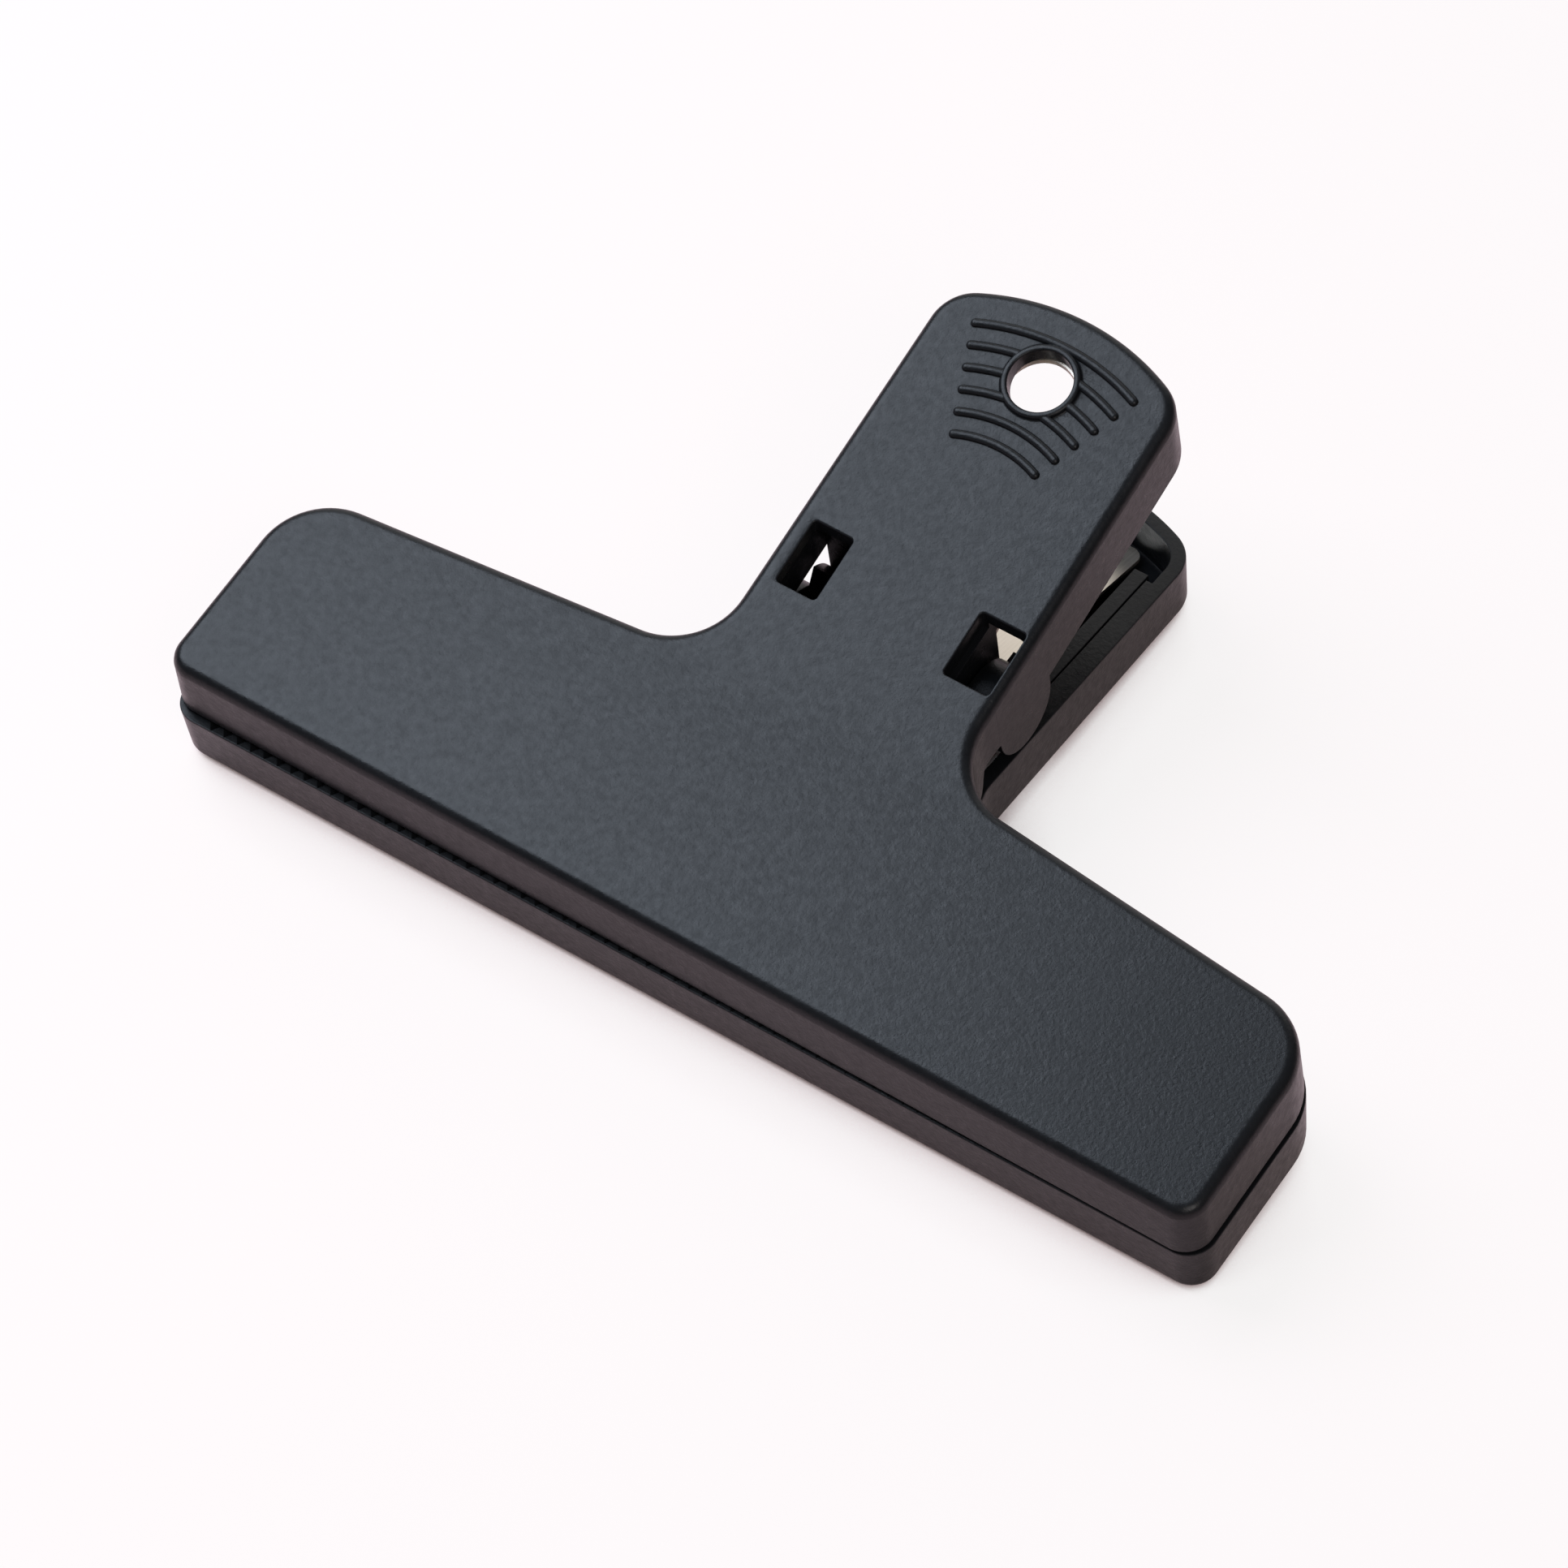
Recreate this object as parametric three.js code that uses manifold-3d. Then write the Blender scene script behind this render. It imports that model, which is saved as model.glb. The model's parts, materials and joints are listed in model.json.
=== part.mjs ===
// A wide T-shaped plastic clip with a sprung handle, for papers and bags.
// Two mouldings of one shape face each other, each hinged on the other by a pivot stub and a hook,
// and a folded leaf spring between their handles keeps the jaw bar shut.
// Each half is made in its own frame: X along the jaw bar, Y from the lip towards the handle's end,
// and Z out of the plane where the two halves meet. The clip is then laid down as it rests on a table.

import * as THREE from "three";
import { mergeVertices } from "three/addons/utils/BufferGeometryUtils.js";
import Module from "manifold-3d";

const wasm = await Module();
wasm.setup();

// Driving dimensions, in millimetres and degrees

// The jaw bar
const barLength = 150;
const barBackLength = 149.7;
const barEndDepth = 29.3;
const barRootDepth = 34.8;
const barFrontCorner = 3.5;
const barBackCorner = 9.5;

// The handle
const handleRootWidth = 35.8;
const handleTipWidth = 34.8;
const handleSideLength = 54.2;
const handleEndBulge = 4.7;
const handleRootCorner = 9.5;
const handleTipCorner = 6;

// The outer plate, which rises a little along the bar and more along the handle
const lipHeight = 9.1;
const barRise = 2.2;
const handleRise = 11.6;
const bendStart = 31;
const bendLength = 14;
const edgeFillet = 1.5;

// The moulding
const wall = 2;
const plate = 2;
const draft = 1.7;

// The rims, where the two halves face each other
const lipGap = 0.3;
const barBackGap = 1.2;
const rimRiseStart = 40;
const rimRise = 12.6;
const reliefHeight = 3.3;
const reliefRun = 2;

// The hinge
const pivotY = 51.05;
const lobeRadius = 5.4;
const lobeRise = 3;
const lobeStep = 0.1;
const pinRadius = 2.2;
const pinClearance = 0.9;
const pinRibInnerX = 9.7;
const pinRibWidth = 0.9;
const hookInnerX = 11.1;
const hookWidth = 4.1;
const hookWall = 3.4;
const hookMouthAngle = 165;
const hookNeckAngle = 60;
const hookWebAngle = 12;
const hookWebLength = 1.8;
const hingeYaw = 0.44;
const hingeSlack = 0.55;

// The guide rib behind the hook, and the thicker wall on both sides of the handle
const guideInnerX = 12.6;
const guideWidth = 2;
const guideSlot = 0.35;
const guideRearGap = 8.4;
const guideDrop = 0.2;

// The windows in the outer plate, over the pivot stub and over the hook
const windowLength = 8.9;
const windowStagger = 0.6;
const windowCorner = 0.5;
const pinWindowWidth = 6.55;
const pinWindowX = 13.1;
const hookWindowWidth = 5.8;
const hookWindowX = -12.15;

// The hang hole and the grip ribs around it
const holeFromEnd = 10;
const holeRadius = 4.15;
const collarWidth = 0.9;
const collarHeight = 0.6;
const gripCount = 6;
const gripPitch = 3;
const gripFirstRadius = 15.85;
const gripCentreFromHole = 25;
const gripHalfAngle = 22;
const gripWidth = 1.15;
const gripHeight = 0.5;

// The teeth of the lips, and the cross ribs inside the bar
const toothPitch = 2.05;
const toothSlope = 0.75;
const toothMargin = 5;
const toothSetback = 0.15;
const barRibCount = 6;
const barRibWidth = 1.2;
const barRibSetback = 4;

// The leaf spring
const leafWidth = 18.8;
const leafThickness = 0.6;
const leafBendRadius = 1.5;
const leafBendY = 49.5;
const leafClearance = 0.3;
const leafCorner = 2;
const leafHoleMargin = 0.8;

// Fineness of the round shapes
const filletSteps = 4;
const cornerSteps = 6;
const endSteps = 10;
const lobeSteps = 12;
const hookSteps = 14;
const roundSides = 36;

const radians = Math.PI / 180;
const draftSlope = Math.tan(draft * radians);
const barSlope = Math.tan(barRise * radians);
const handleSlope = Math.tan(handleRise * radians);
const rimSlope = Math.tan(rimRise * radians);
const handleEndY = barRootDepth + handleSideLength + handleEndBulge;
const endRadius = ((handleTipWidth / 2) ** 2 + handleEndBulge ** 2) / (2 * handleEndBulge);
const holeY = handleEndY - holeFromEnd;
const sink = 0.5;
const leastCorner = 0.4;

const plasticMaterial = new THREE.MeshStandardMaterial({ color: 0x41464c, roughness: 0.55, metalness: 0 });
const steelMaterial = new THREE.MeshStandardMaterial({ color: 0xd6c9b4, roughness: 0.3, metalness: 1 });

// Solids and meshes

function toSolid(geometry) {
  const bare = geometry.clone();
  bare.deleteAttribute("normal");
  bare.deleteAttribute("uv");
  const merged = mergeVertices(bare, 1e-4);
  return new wasm.Manifold(
    new wasm.Mesh({
      numProp: 3,
      vertProperties: merged.attributes.position.array,
      triVerts: new Uint32Array(merged.index.array),
    }),
  );
}

function toMesh(solid, material, name) {
  const made = solid.getMesh();
  const geometry = new THREE.BufferGeometry();
  geometry.setAttribute("position", new THREE.BufferAttribute(made.vertProperties, 3));
  geometry.setIndex(new THREE.BufferAttribute(made.triVerts, 1));
  geometry.computeVertexNormals();
  const mesh = new THREE.Mesh(geometry, material);
  mesh.name = name;
  return mesh;
}

// An outline drawn in Y and Z, extruded along X.
function extrudeAlongX(shape, lowX, highX, curveSegments = cornerSteps) {
  const geometry = new THREE.ExtrudeGeometry(shape, {
    depth: highX - lowX,
    bevelEnabled: false,
    curveSegments,
  });
  const turn = new THREE.Matrix4().set(0, 0, 1, lowX, 1, 0, 0, 0, 0, 1, 0, 0, 0, 0, 0, 1);
  geometry.applyMatrix4(turn);
  return toSolid(geometry);
}

// Heights of the outer plate and of the rims above the plane where the halves meet

function crown(y) {
  const along = Math.max(0, y - bendStart);
  const turned = along < bendLength ? along ** 2 / (2 * bendLength) : along - bendLength / 2;
  return lipHeight + barSlope * y + (handleSlope - barSlope) * turned;
}

function hookSideRim(y) {
  const front = lipGap / 2 + ((barBackGap - lipGap) / 2) * (y / rimRiseStart);
  return y < rimRiseStart ? front : barBackGap / 2 + rimSlope * (y - rimRiseStart);
}

const lobeFrontY = pivotY - lobeRadius;
const lobeBackY = pivotY + lobeRadius;

// The stub's side is cut back in front of the lobe, and runs round the lobe below it.
function pinSideRim(y) {
  const plain = hookSideRim(y);
  if (y > rimRiseStart && y < lobeFrontY) {
    const climb = Math.min(1, (y - rimRiseStart) / reliefRun);
    return Math.max(plain, barBackGap / 2 + (reliefHeight - barBackGap / 2) * climb);
  }
  if (y >= lobeFrontY && y <= lobeBackY) {
    return lobeRise - Math.sqrt(Math.max(0, lobeRadius ** 2 - (y - pivotY) ** 2));
  }
  return plain;
}

// The T-shaped outline

// A straight edge of the outline, moved outwards. Its outward side is to the right of its direction.
function edge(from, to, offset) {
  const direction = to.clone().sub(from).normalize();
  const normal = new THREE.Vector2(direction.y, -direction.x);
  return { point: from.clone().addScaledVector(normal, offset), direction, normal };
}

function meeting(first, second) {
  const cross = first.direction.cross(second.direction);
  const between = second.point.clone().sub(first.point);
  return first.point.clone().addScaledVector(first.direction, between.cross(second.direction) / cross);
}

function moved(line, distance) {
  return { ...line, point: line.point.clone().addScaledVector(line.normal, distance) };
}

// Points round a corner between two edges, each with its outward normal.
function corner(first, second, radius) {
  const side = Math.sign(first.direction.cross(second.direction));
  const centre = meeting(moved(first, -side * radius), moved(second, -side * radius));
  const start = Math.atan2(first.normal.y, first.normal.x);
  const turn = Math.asin(first.direction.cross(second.direction));
  return arcPoints(centre, side * radius, start, start + turn, cornerSteps);
}

function arcPoints(centre, radius, start, stop, steps) {
  return Array.from({ length: steps + 1 }, (_, i) => {
    const angle = start + ((stop - start) * i) / steps;
    const normal = new THREE.Vector2(Math.cos(angle), Math.sin(angle));
    return { at: centre.clone().addScaledVector(normal, radius), normal };
  });
}

// Places along the handle's sides where the rim changes height
const roundLobe = Array.from({ length: lobeSteps + 1 }, (_, i) => Math.cos((Math.PI * i) / lobeSteps));
const sideStations = [
  lobeFrontY - lobeStep,
  ...roundLobe.map((share) => pivotY - lobeRadius * share),
  lobeBackY + lobeStep,
  (lobeBackY + holeY) / 2,
];

// The right half of the outline, from the middle of the lip to the middle of the handle's end.
// Every offset gives the same number of points, so that two outlines can be joined into a wall.
function outline(offset) {
  const frontMiddle = new THREE.Vector2(0, 0);
  const frontCorner = new THREE.Vector2(barLength / 2, 0);
  const backCorner = new THREE.Vector2(barBackLength / 2, barEndDepth);
  const root = new THREE.Vector2(handleRootWidth / 2, barRootDepth);
  const tip = new THREE.Vector2(handleTipWidth / 2, barRootDepth + handleSideLength);
  const front = edge(frontMiddle, frontCorner, offset);
  const end = edge(frontCorner, backCorner, offset);
  const back = edge(backCorner, root, offset);
  const side = edge(root, tip, offset);
  const tipRadius = Math.max(leastCorner, handleTipCorner + offset);
  const arcCentre = new THREE.Vector2(0, handleEndY - endRadius);
  const inset = moved(side, -tipRadius);
  const toCentre = inset.point.clone().sub(arcCentre);
  const half = toCentre.dot(inset.direction);
  const reach = endRadius + offset - tipRadius;
  const run = -half + Math.sqrt(half ** 2 - toCentre.lengthSq() + reach ** 2);
  const tipCentre = inset.point.clone().addScaledVector(inset.direction, run);
  const tipStart = Math.atan2(side.normal.y, side.normal.x);
  const fromArc = tipCentre.clone().sub(arcCentre);
  const tipStop = Math.atan2(fromArc.y, fromArc.x);
  const onSide = sideStations.map((y) => ({
    at: side.point.clone().addScaledVector(side.direction, (y - side.point.y) / side.direction.y),
    normal: side.normal,
  }));
  return [
    { at: front.point, normal: front.normal },
    ...corner(front, end, Math.max(leastCorner, barFrontCorner + offset)),
    ...corner(end, back, Math.max(leastCorner, barBackCorner + offset)),
    ...corner(back, side, Math.max(leastCorner, handleRootCorner - offset)),
    ...onSide,
    ...arcPoints(tipCentre, tipRadius, tipStart, tipStop, cornerSteps),
    ...arcPoints(arcCentre, endRadius + offset, tipStop, Math.PI / 2, endSteps).slice(1),
  ];
}

// The tray

// One closed ring of points, the right half of the outline and its mirror image. It lies at the height
// that the rule gives for each side, and a drafted ring also widens by the draft below the plate.
function ring(offset, height, drafted) {
  const place = (point, mirror) => {
    const z = height(point.at.y, mirror);
    const widen = drafted ? draftSlope * (crown(point.at.y) - z) : 0;
    const x = point.at.x + point.normal.x * widen;
    return new THREE.Vector3(mirror * x, point.at.y + point.normal.y * widen, z);
  };
  const right = outline(offset);
  const left = right.slice(1, -1).reverse();
  return [...right.map((point) => place(point, 1)), ...left.map((point) => place(point, -1))];
}

function tray() {
  const rim = (y, mirror) => (mirror > 0 ? pinSideRim(y) : hookSideRim(y));
  const fillet = Array.from({ length: filletSteps + 1 }, (_, i) => {
    const angle = (Math.PI / 2) * (i / filletSteps);
    const drop = edgeFillet * (1 - Math.cos(angle));
    return ring(-edgeFillet * (1 - Math.sin(angle)), (y) => crown(y) - drop, i === filletSteps);
  });
  const rings = [
    ...fillet,
    ring(0, rim, true),
    ring(-wall, rim, true),
    ring(-wall, (y) => crown(y) - plate, true),
  ];
  const count = rings[0].length;
  const last = count / 2;
  const positions = rings.flat().flatMap((point) => point.toArray());
  const faces = [];
  for (let k = 0; k + 1 < rings.length; k += 1) {
    for (let i = 0; i < count; i += 1) {
      const j = (i + 1) % count;
      const upper = k * count;
      const lower = upper + count;
      faces.push(lower + i, lower + j, upper + j, lower + i, upper + j, upper + i);
    }
  }
  const ceiling = (rings.length - 1) * count;
  for (let i = 0; i < last; i += 1) {
    const left = (count - i) % count;
    const nextLeft = count - i - 1;
    if (i > 0) {
      faces.push(left, i, i + 1);
      faces.push(ceiling + left, ceiling + i + 1, ceiling + i);
    } else {
      faces.push(0, 1, nextLeft);
      faces.push(ceiling, ceiling + nextLeft, ceiling + 1);
    }
    if (i > 0 && i + 1 < last) {
      faces.push(left, i + 1, nextLeft);
      faces.push(ceiling + left, ceiling + nextLeft, ceiling + i + 1);
    }
  }
  const geometry = new THREE.BufferGeometry();
  geometry.setAttribute("position", new THREE.Float32BufferAttribute(positions, 3));
  geometry.setIndex(faces);
  return toSolid(geometry);
}

// The frame of the handle's outer face: its origin on the face, its Z out of it
function onHandle(y) {
  const frame = new THREE.Matrix4().makeRotationX(handleRise * radians);
  frame.setPosition(0, y, crown(y));
  return frame;
}

// The hang hole's collar and the grip ribs

function collar() {
  const outer = holeRadius + collarWidth;
  const round = collarHeight / 2;
  const profile = new THREE.Path();
  profile.moveTo(0, -sink);
  profile.lineTo(outer, -sink);
  profile.lineTo(outer, collarHeight - round);
  profile.absarc(outer - round, collarHeight - round, round, 0, Math.PI / 2, false);
  profile.lineTo(0, collarHeight);
  const geometry = new THREE.LatheGeometry(profile.getPoints(2), roundSides);
  geometry.rotateX(Math.PI / 2);
  geometry.applyMatrix4(onHandle(holeY));
  return toSolid(geometry);
}

function gripRib(radius) {
  const half = gripHalfAngle * radians;
  const start = Math.PI / 2 - half;
  const stop = Math.PI / 2 + half;
  const tipAt = (angle) => [radius * Math.cos(angle), radius * Math.sin(angle)];
  const bevel = gripHeight / 2;
  const inset = gripWidth / 2;
  const shape = new THREE.Shape();
  shape.absarc(0, 0, radius + inset, start, stop, false);
  shape.absarc(...tipAt(stop), inset, stop, stop + Math.PI, false);
  shape.absarc(0, 0, radius - inset, stop, start, true);
  shape.absarc(...tipAt(start), inset, start + Math.PI, start + 2 * Math.PI, false);
  const geometry = new THREE.ExtrudeGeometry(shape, {
    depth: sink + gripHeight - 2 * bevel,
    bevelThickness: bevel,
    bevelSize: bevel,
    bevelOffset: -bevel,
    bevelSegments: 1,
    curveSegments: cornerSteps,
  });
  geometry.translate(0, 0, bevel - sink);
  geometry.applyMatrix4(onHandle(holeY - gripCentreFromHole));
  return toSolid(geometry);
}

function hangHole() {
  const reach = plate + collarHeight + sink;
  const cutter = new THREE.CylinderGeometry(holeRadius, holeRadius, 2 * reach, roundSides);
  cutter.rotateX(Math.PI / 2);
  cutter.applyMatrix4(onHandle(holeY));
  return toSolid(cutter);
}

// The hinge of one half: the stub on its right, the hook on its left

const sideInnerX = (y, z) => {
  const along = (y - barRootDepth) / handleSideLength;
  const half = (handleRootWidth + (handleTipWidth - handleRootWidth) * along) / 2;
  return half - wall + draftSlope * (crown(y) - z);
};

function pivotPin() {
  const innerX = pinRibInnerX + pinRibWidth / 2;
  const outerX = sideInnerX(pivotY, 0) + wall / 2;
  const profile = [
    new THREE.Vector2(0, 0),
    new THREE.Vector2(pinRadius, 0),
    new THREE.Vector2(pinRadius, outerX - innerX),
    new THREE.Vector2(0, outerX - innerX),
  ];
  const geometry = new THREE.LatheGeometry(profile, roundSides / 2);
  geometry.rotateZ(-Math.PI / 2);
  geometry.translate(innerX, pivotY, 0);
  return toSolid(geometry);
}

// The rib that holds the stub's inner end, with the same round edge as the lobe
function pinRib() {
  const shape = new THREE.Shape();
  shape.absarc(pivotY, lobeRise, lobeRadius, Math.PI, 2 * Math.PI, false);
  shape.lineTo(lobeBackY, crown(lobeBackY) - plate / 2);
  shape.lineTo(lobeFrontY, crown(lobeFrontY) - plate / 2);
  return extrudeAlongX(shape, pinRibInnerX, pinRibInnerX + pinRibWidth, lobeSteps);
}

const hookRadius = pinRadius + pinClearance;
const hookOuter = hookRadius + hookWall;
const webFrontY = pivotY + hookOuter * Math.cos(hookWebAngle * radians);
const webRearY = webFrontY + hookWebLength;
const guideFrontY = webRearY - sink;
const guideRearY = handleEndY - wall - guideRearGap;

// The hook is open towards the jaw and its own plate, and closed below and behind the stub. A web behind it
// joins it to the plate.
function pivotHook() {
  const mouth = -hookMouthAngle * radians;
  const neck = hookNeckAngle * radians;
  const web = hookWebAngle * radians;
  const shape = new THREE.Shape();
  shape.absarc(pivotY, 0, hookOuter, mouth, -web, false);
  shape.lineTo(webRearY, -hookOuter * Math.sin(web));
  shape.lineTo(webRearY, crown(webRearY) - plate / 2);
  shape.lineTo(webFrontY, crown(webFrontY) - plate / 2);
  shape.absarc(pivotY, 0, hookOuter, web, neck, false);
  shape.absarc(pivotY, 0, hookRadius, neck, mouth, true);
  return extrudeAlongX(shape, -hookInnerX - hookWidth, -hookInnerX, hookSteps);
}

function sideRib(lowX, highX, startY, stopY, drop) {
  const shape = new THREE.Shape();
  shape.moveTo(startY, hookSideRim(startY) + drop);
  shape.lineTo(stopY, hookSideRim(stopY) + drop);
  shape.lineTo(stopY, crown(stopY) - plate / 2);
  shape.lineTo(startY, crown(startY) - plate / 2);
  return extrudeAlongX(shape, lowX, highX);
}

function guides() {
  const slotX = guideInnerX + guideWidth;
  const wallX = sideInnerX(guideRearY, crown(guideRearY)) + wall / 2;
  const rib = sideRib(-slotX, -guideInnerX, guideFrontY, guideRearY, guideDrop);
  const padRearY = guideRearY - wall / 2;
  const pad = sideRib(-wallX, -slotX - guideSlot, guideFrontY, padRearY, 0);
  const farPad = sideRib(slotX + guideSlot, wallX, webRearY + pinClearance, padRearY, 0);
  return rib.add(pad).add(farPad);
}

function window(middleX, middleY, width) {
  const half = new THREE.Vector2(width / 2, windowLength / 2);
  const shape = new THREE.Shape();
  shape.absarc(half.x - windowCorner, half.y - windowCorner, windowCorner, 0, Math.PI / 2, false);
  shape.absarc(windowCorner - half.x, half.y - windowCorner, windowCorner, Math.PI / 2, Math.PI, false);
  shape.absarc(windowCorner - half.x, windowCorner - half.y, windowCorner, Math.PI, 1.5 * Math.PI, false);
  shape.absarc(half.x - windowCorner, windowCorner - half.y, windowCorner, 1.5 * Math.PI, 2 * Math.PI, false);
  const geometry = new THREE.ExtrudeGeometry(shape, {
    depth: 2 * (plate + sink),
    bevelEnabled: false,
    curveSegments: 2,
  });
  geometry.translate(middleX, middleY, crown(middleY - windowLength / 2) - plate - sink);
  return toSolid(geometry);
}

// The bar: its cross ribs and the teeth of its lip

function barRib(x) {
  const shape = new THREE.Shape();
  const startY = wall / 2;
  const stopY = barEndDepth;
  shape.moveTo(startY, hookSideRim(startY) + barRibSetback);
  shape.lineTo(stopY, hookSideRim(stopY) + barRibSetback);
  shape.lineTo(stopY, crown(stopY) - plate / 2);
  shape.lineTo(startY, crown(startY) - plate / 2);
  return extrudeAlongX(shape, x - barRibWidth / 2, x + barRibWidth / 2);
}

// A comb of V-shaped grooves across the lip. They start behind the front face and deepen inwards.
function toothComb() {
  const count = Math.floor((barLength - 2 * toothMargin) / toothPitch);
  const startX = (-count * toothPitch) / 2;
  const root = -toothPitch / 2;
  const shape = new THREE.Shape();
  shape.moveTo(startX, root - sink);
  for (let i = 0; i < count; i += 1) {
    shape.lineTo(startX + i * toothPitch, root);
    shape.lineTo(startX + (i + 0.5) * toothPitch, 0);
  }
  shape.lineTo(-startX, root);
  shape.lineTo(-startX, root - sink);
  const outerY = -draftSlope * lipHeight;
  const startY = outerY + toothSetback;
  const highY = wall + sink;
  const geometry = new THREE.ExtrudeGeometry(shape, { depth: highY - outerY + sink, bevelEnabled: false });
  geometry.rotateX(Math.PI / 2);
  geometry.translate(0, highY, 0);
  const deepen = new THREE.Matrix4();
  deepen.set(1, 0, 0, 0, 0, 1, 0, 0, 0, toothSlope, 1, hookSideRim(0) - toothSlope * startY, 0, 0, 0, 1);
  geometry.applyMatrix4(deepen);
  return toSolid(geometry);
}

// One half
function halfSolid() {
  const ribPitch = barLength / (barRibCount + 1);
  const ribPlaces = Array.from({ length: barRibCount }, (_, i) => (i + 1) * ribPitch - barLength / 2);
  const grips = Array.from({ length: gripCount }, (_, i) => gripRib(gripFirstRadius + i * gripPitch));
  const hingeParts = [pivotPin(), pinRib(), pivotHook(), guides()];
  const added = [collar(), ...grips, ...hingeParts, ...ribPlaces.map(barRib)];
  const cut = [
    window(pinWindowX, pivotY - windowStagger / 2, pinWindowWidth),
    window(hookWindowX, pivotY + windowStagger / 2, hookWindowWidth),
    hangHole(),
    toothComb(),
  ];
  const body = added.reduce((whole, piece) => whole.add(piece), tray());
  return cut.reduce((whole, piece) => whole.subtract(piece), body);
}

// The leaf spring, as wide as the room between the two hinges leaves

function leafSolid() {
  const innerRadius = endRadius - wall;
  const endY = handleEndY - endRadius + Math.sqrt(innerRadius ** 2 - (leafWidth / 2) ** 2) - leafClearance;
  const endZ = crown(endY) - plate - leafClearance - leafThickness / 2;
  const reach = new THREE.Vector2(endY - leafBendY, endZ);
  const slope = Math.atan2(reach.y, reach.x) - Math.asin(leafBendRadius / reach.length());
  const outer = leafBendRadius + leafThickness / 2;
  const inner = leafBendRadius - leafThickness / 2;
  const across = new THREE.Vector2(-Math.sin(slope), Math.cos(slope)).multiplyScalar(leafThickness / 2);
  const start = Math.PI / 2 + slope;
  const shape = new THREE.Shape();
  shape.moveTo(endY + across.x, endZ + across.y);
  shape.absarc(leafBendY, 0, outer, start, 2 * Math.PI - start, false);
  shape.lineTo(endY + across.x, -endZ - across.y);
  shape.lineTo(endY - across.x, -endZ + across.y);
  shape.absarc(leafBendY, 0, inner, 2 * Math.PI - start, start, true);
  shape.lineTo(endY - across.x, endZ - across.y);
  const strip = extrudeAlongX(shape, -leafWidth / 2, leafWidth / 2);
  return strip.intersect(leafPlan(endY, endZ));
}

// The strip seen from above, with its rounded corners and a hole that keeps clear of the hang hole.
function leafPlan(endY, endZ) {
  const half = leafWidth / 2;
  const frontY = leafBendY - 2 * leafBendRadius;
  const backY = endY + leafClearance / 2;
  const shape = new THREE.Shape();
  shape.moveTo(-half - sink, frontY);
  shape.lineTo(half + sink, frontY);
  shape.lineTo(half + sink, backY - leafCorner - sink);
  shape.lineTo(half, backY - leafCorner);
  shape.absarc(half - leafCorner, backY - leafCorner, leafCorner, 0, Math.PI / 2, false);
  shape.absarc(leafCorner - half, backY - leafCorner, leafCorner, Math.PI / 2, Math.PI, false);
  shape.lineTo(-half - sink, backY - leafCorner - sink);
  const hole = new THREE.Path();
  hole.absarc(0, holeY, holeRadius + leafHoleMargin, 0, 2 * Math.PI, true);
  shape.holes.push(hole);
  const geometry = new THREE.ExtrudeGeometry(shape, {
    depth: 2 * (endZ + plate),
    bevelEnabled: false,
    curveSegments: cornerSteps * 2,
  });
  geometry.translate(0, 0, -endZ - plate);
  return toSolid(geometry);
}

// The clip, laid down on its lower half

const moulding = halfSolid();
const lowerHalf = toMesh(moulding, plasticMaterial, "lower_half");
lowerHalf.rotation.y = Math.PI;

const upperHalf = toMesh(moulding, plasticMaterial.clone(), "upper_half");
upperHalf.position.set(0, -pivotY, 0);
const hinge = new THREE.Group();
hinge.position.set(0, pivotY + hingeSlack, 0);
hinge.rotation.z = -hingeYaw * radians;
hinge.add(upperHalf);

const leafSpring = toMesh(leafSolid(), steelMaterial, "leaf_spring");

const clip = new THREE.Group();
clip.add(lowerHalf, hinge, leafSpring);

// The lower half touches the table at the bar's front edge and at the handle's end.
const tipY = handleEndY - edgeFillet;
const tipDepth = crown(tipY) - edgeFillet;
const frontDepth = crown(edgeFillet) - edgeFillet;
clip.rotation.x = Math.atan2(tipDepth - frontDepth, tipY - edgeFillet);

// The origin is under the middle of the clip, on the table.
const holder = new THREE.Group();
holder.add(clip);
holder.updateMatrixWorld(true);
const bounds = new THREE.Box3().setFromObject(holder, true);
const middle = bounds.getCenter(new THREE.Vector3());
clip.position.set(-middle.x, -middle.y, -bounds.min.z);

export default holder;
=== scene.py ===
"""The looks of a wide plastic clip with a sprung handle: two mouldings and a folded leaf spring.

Sizes are in millimetres, in the clip's own frame: X along the jaw bar, Y from the lip towards the
handle's end, and Z out of the plane where the two halves meet. The last step of each piece lays it down
in the row frame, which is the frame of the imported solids, in metres.
"""

import json
import math

import bmesh
import bpy
import numpy as np
from mathutils import Matrix, Vector

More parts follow.
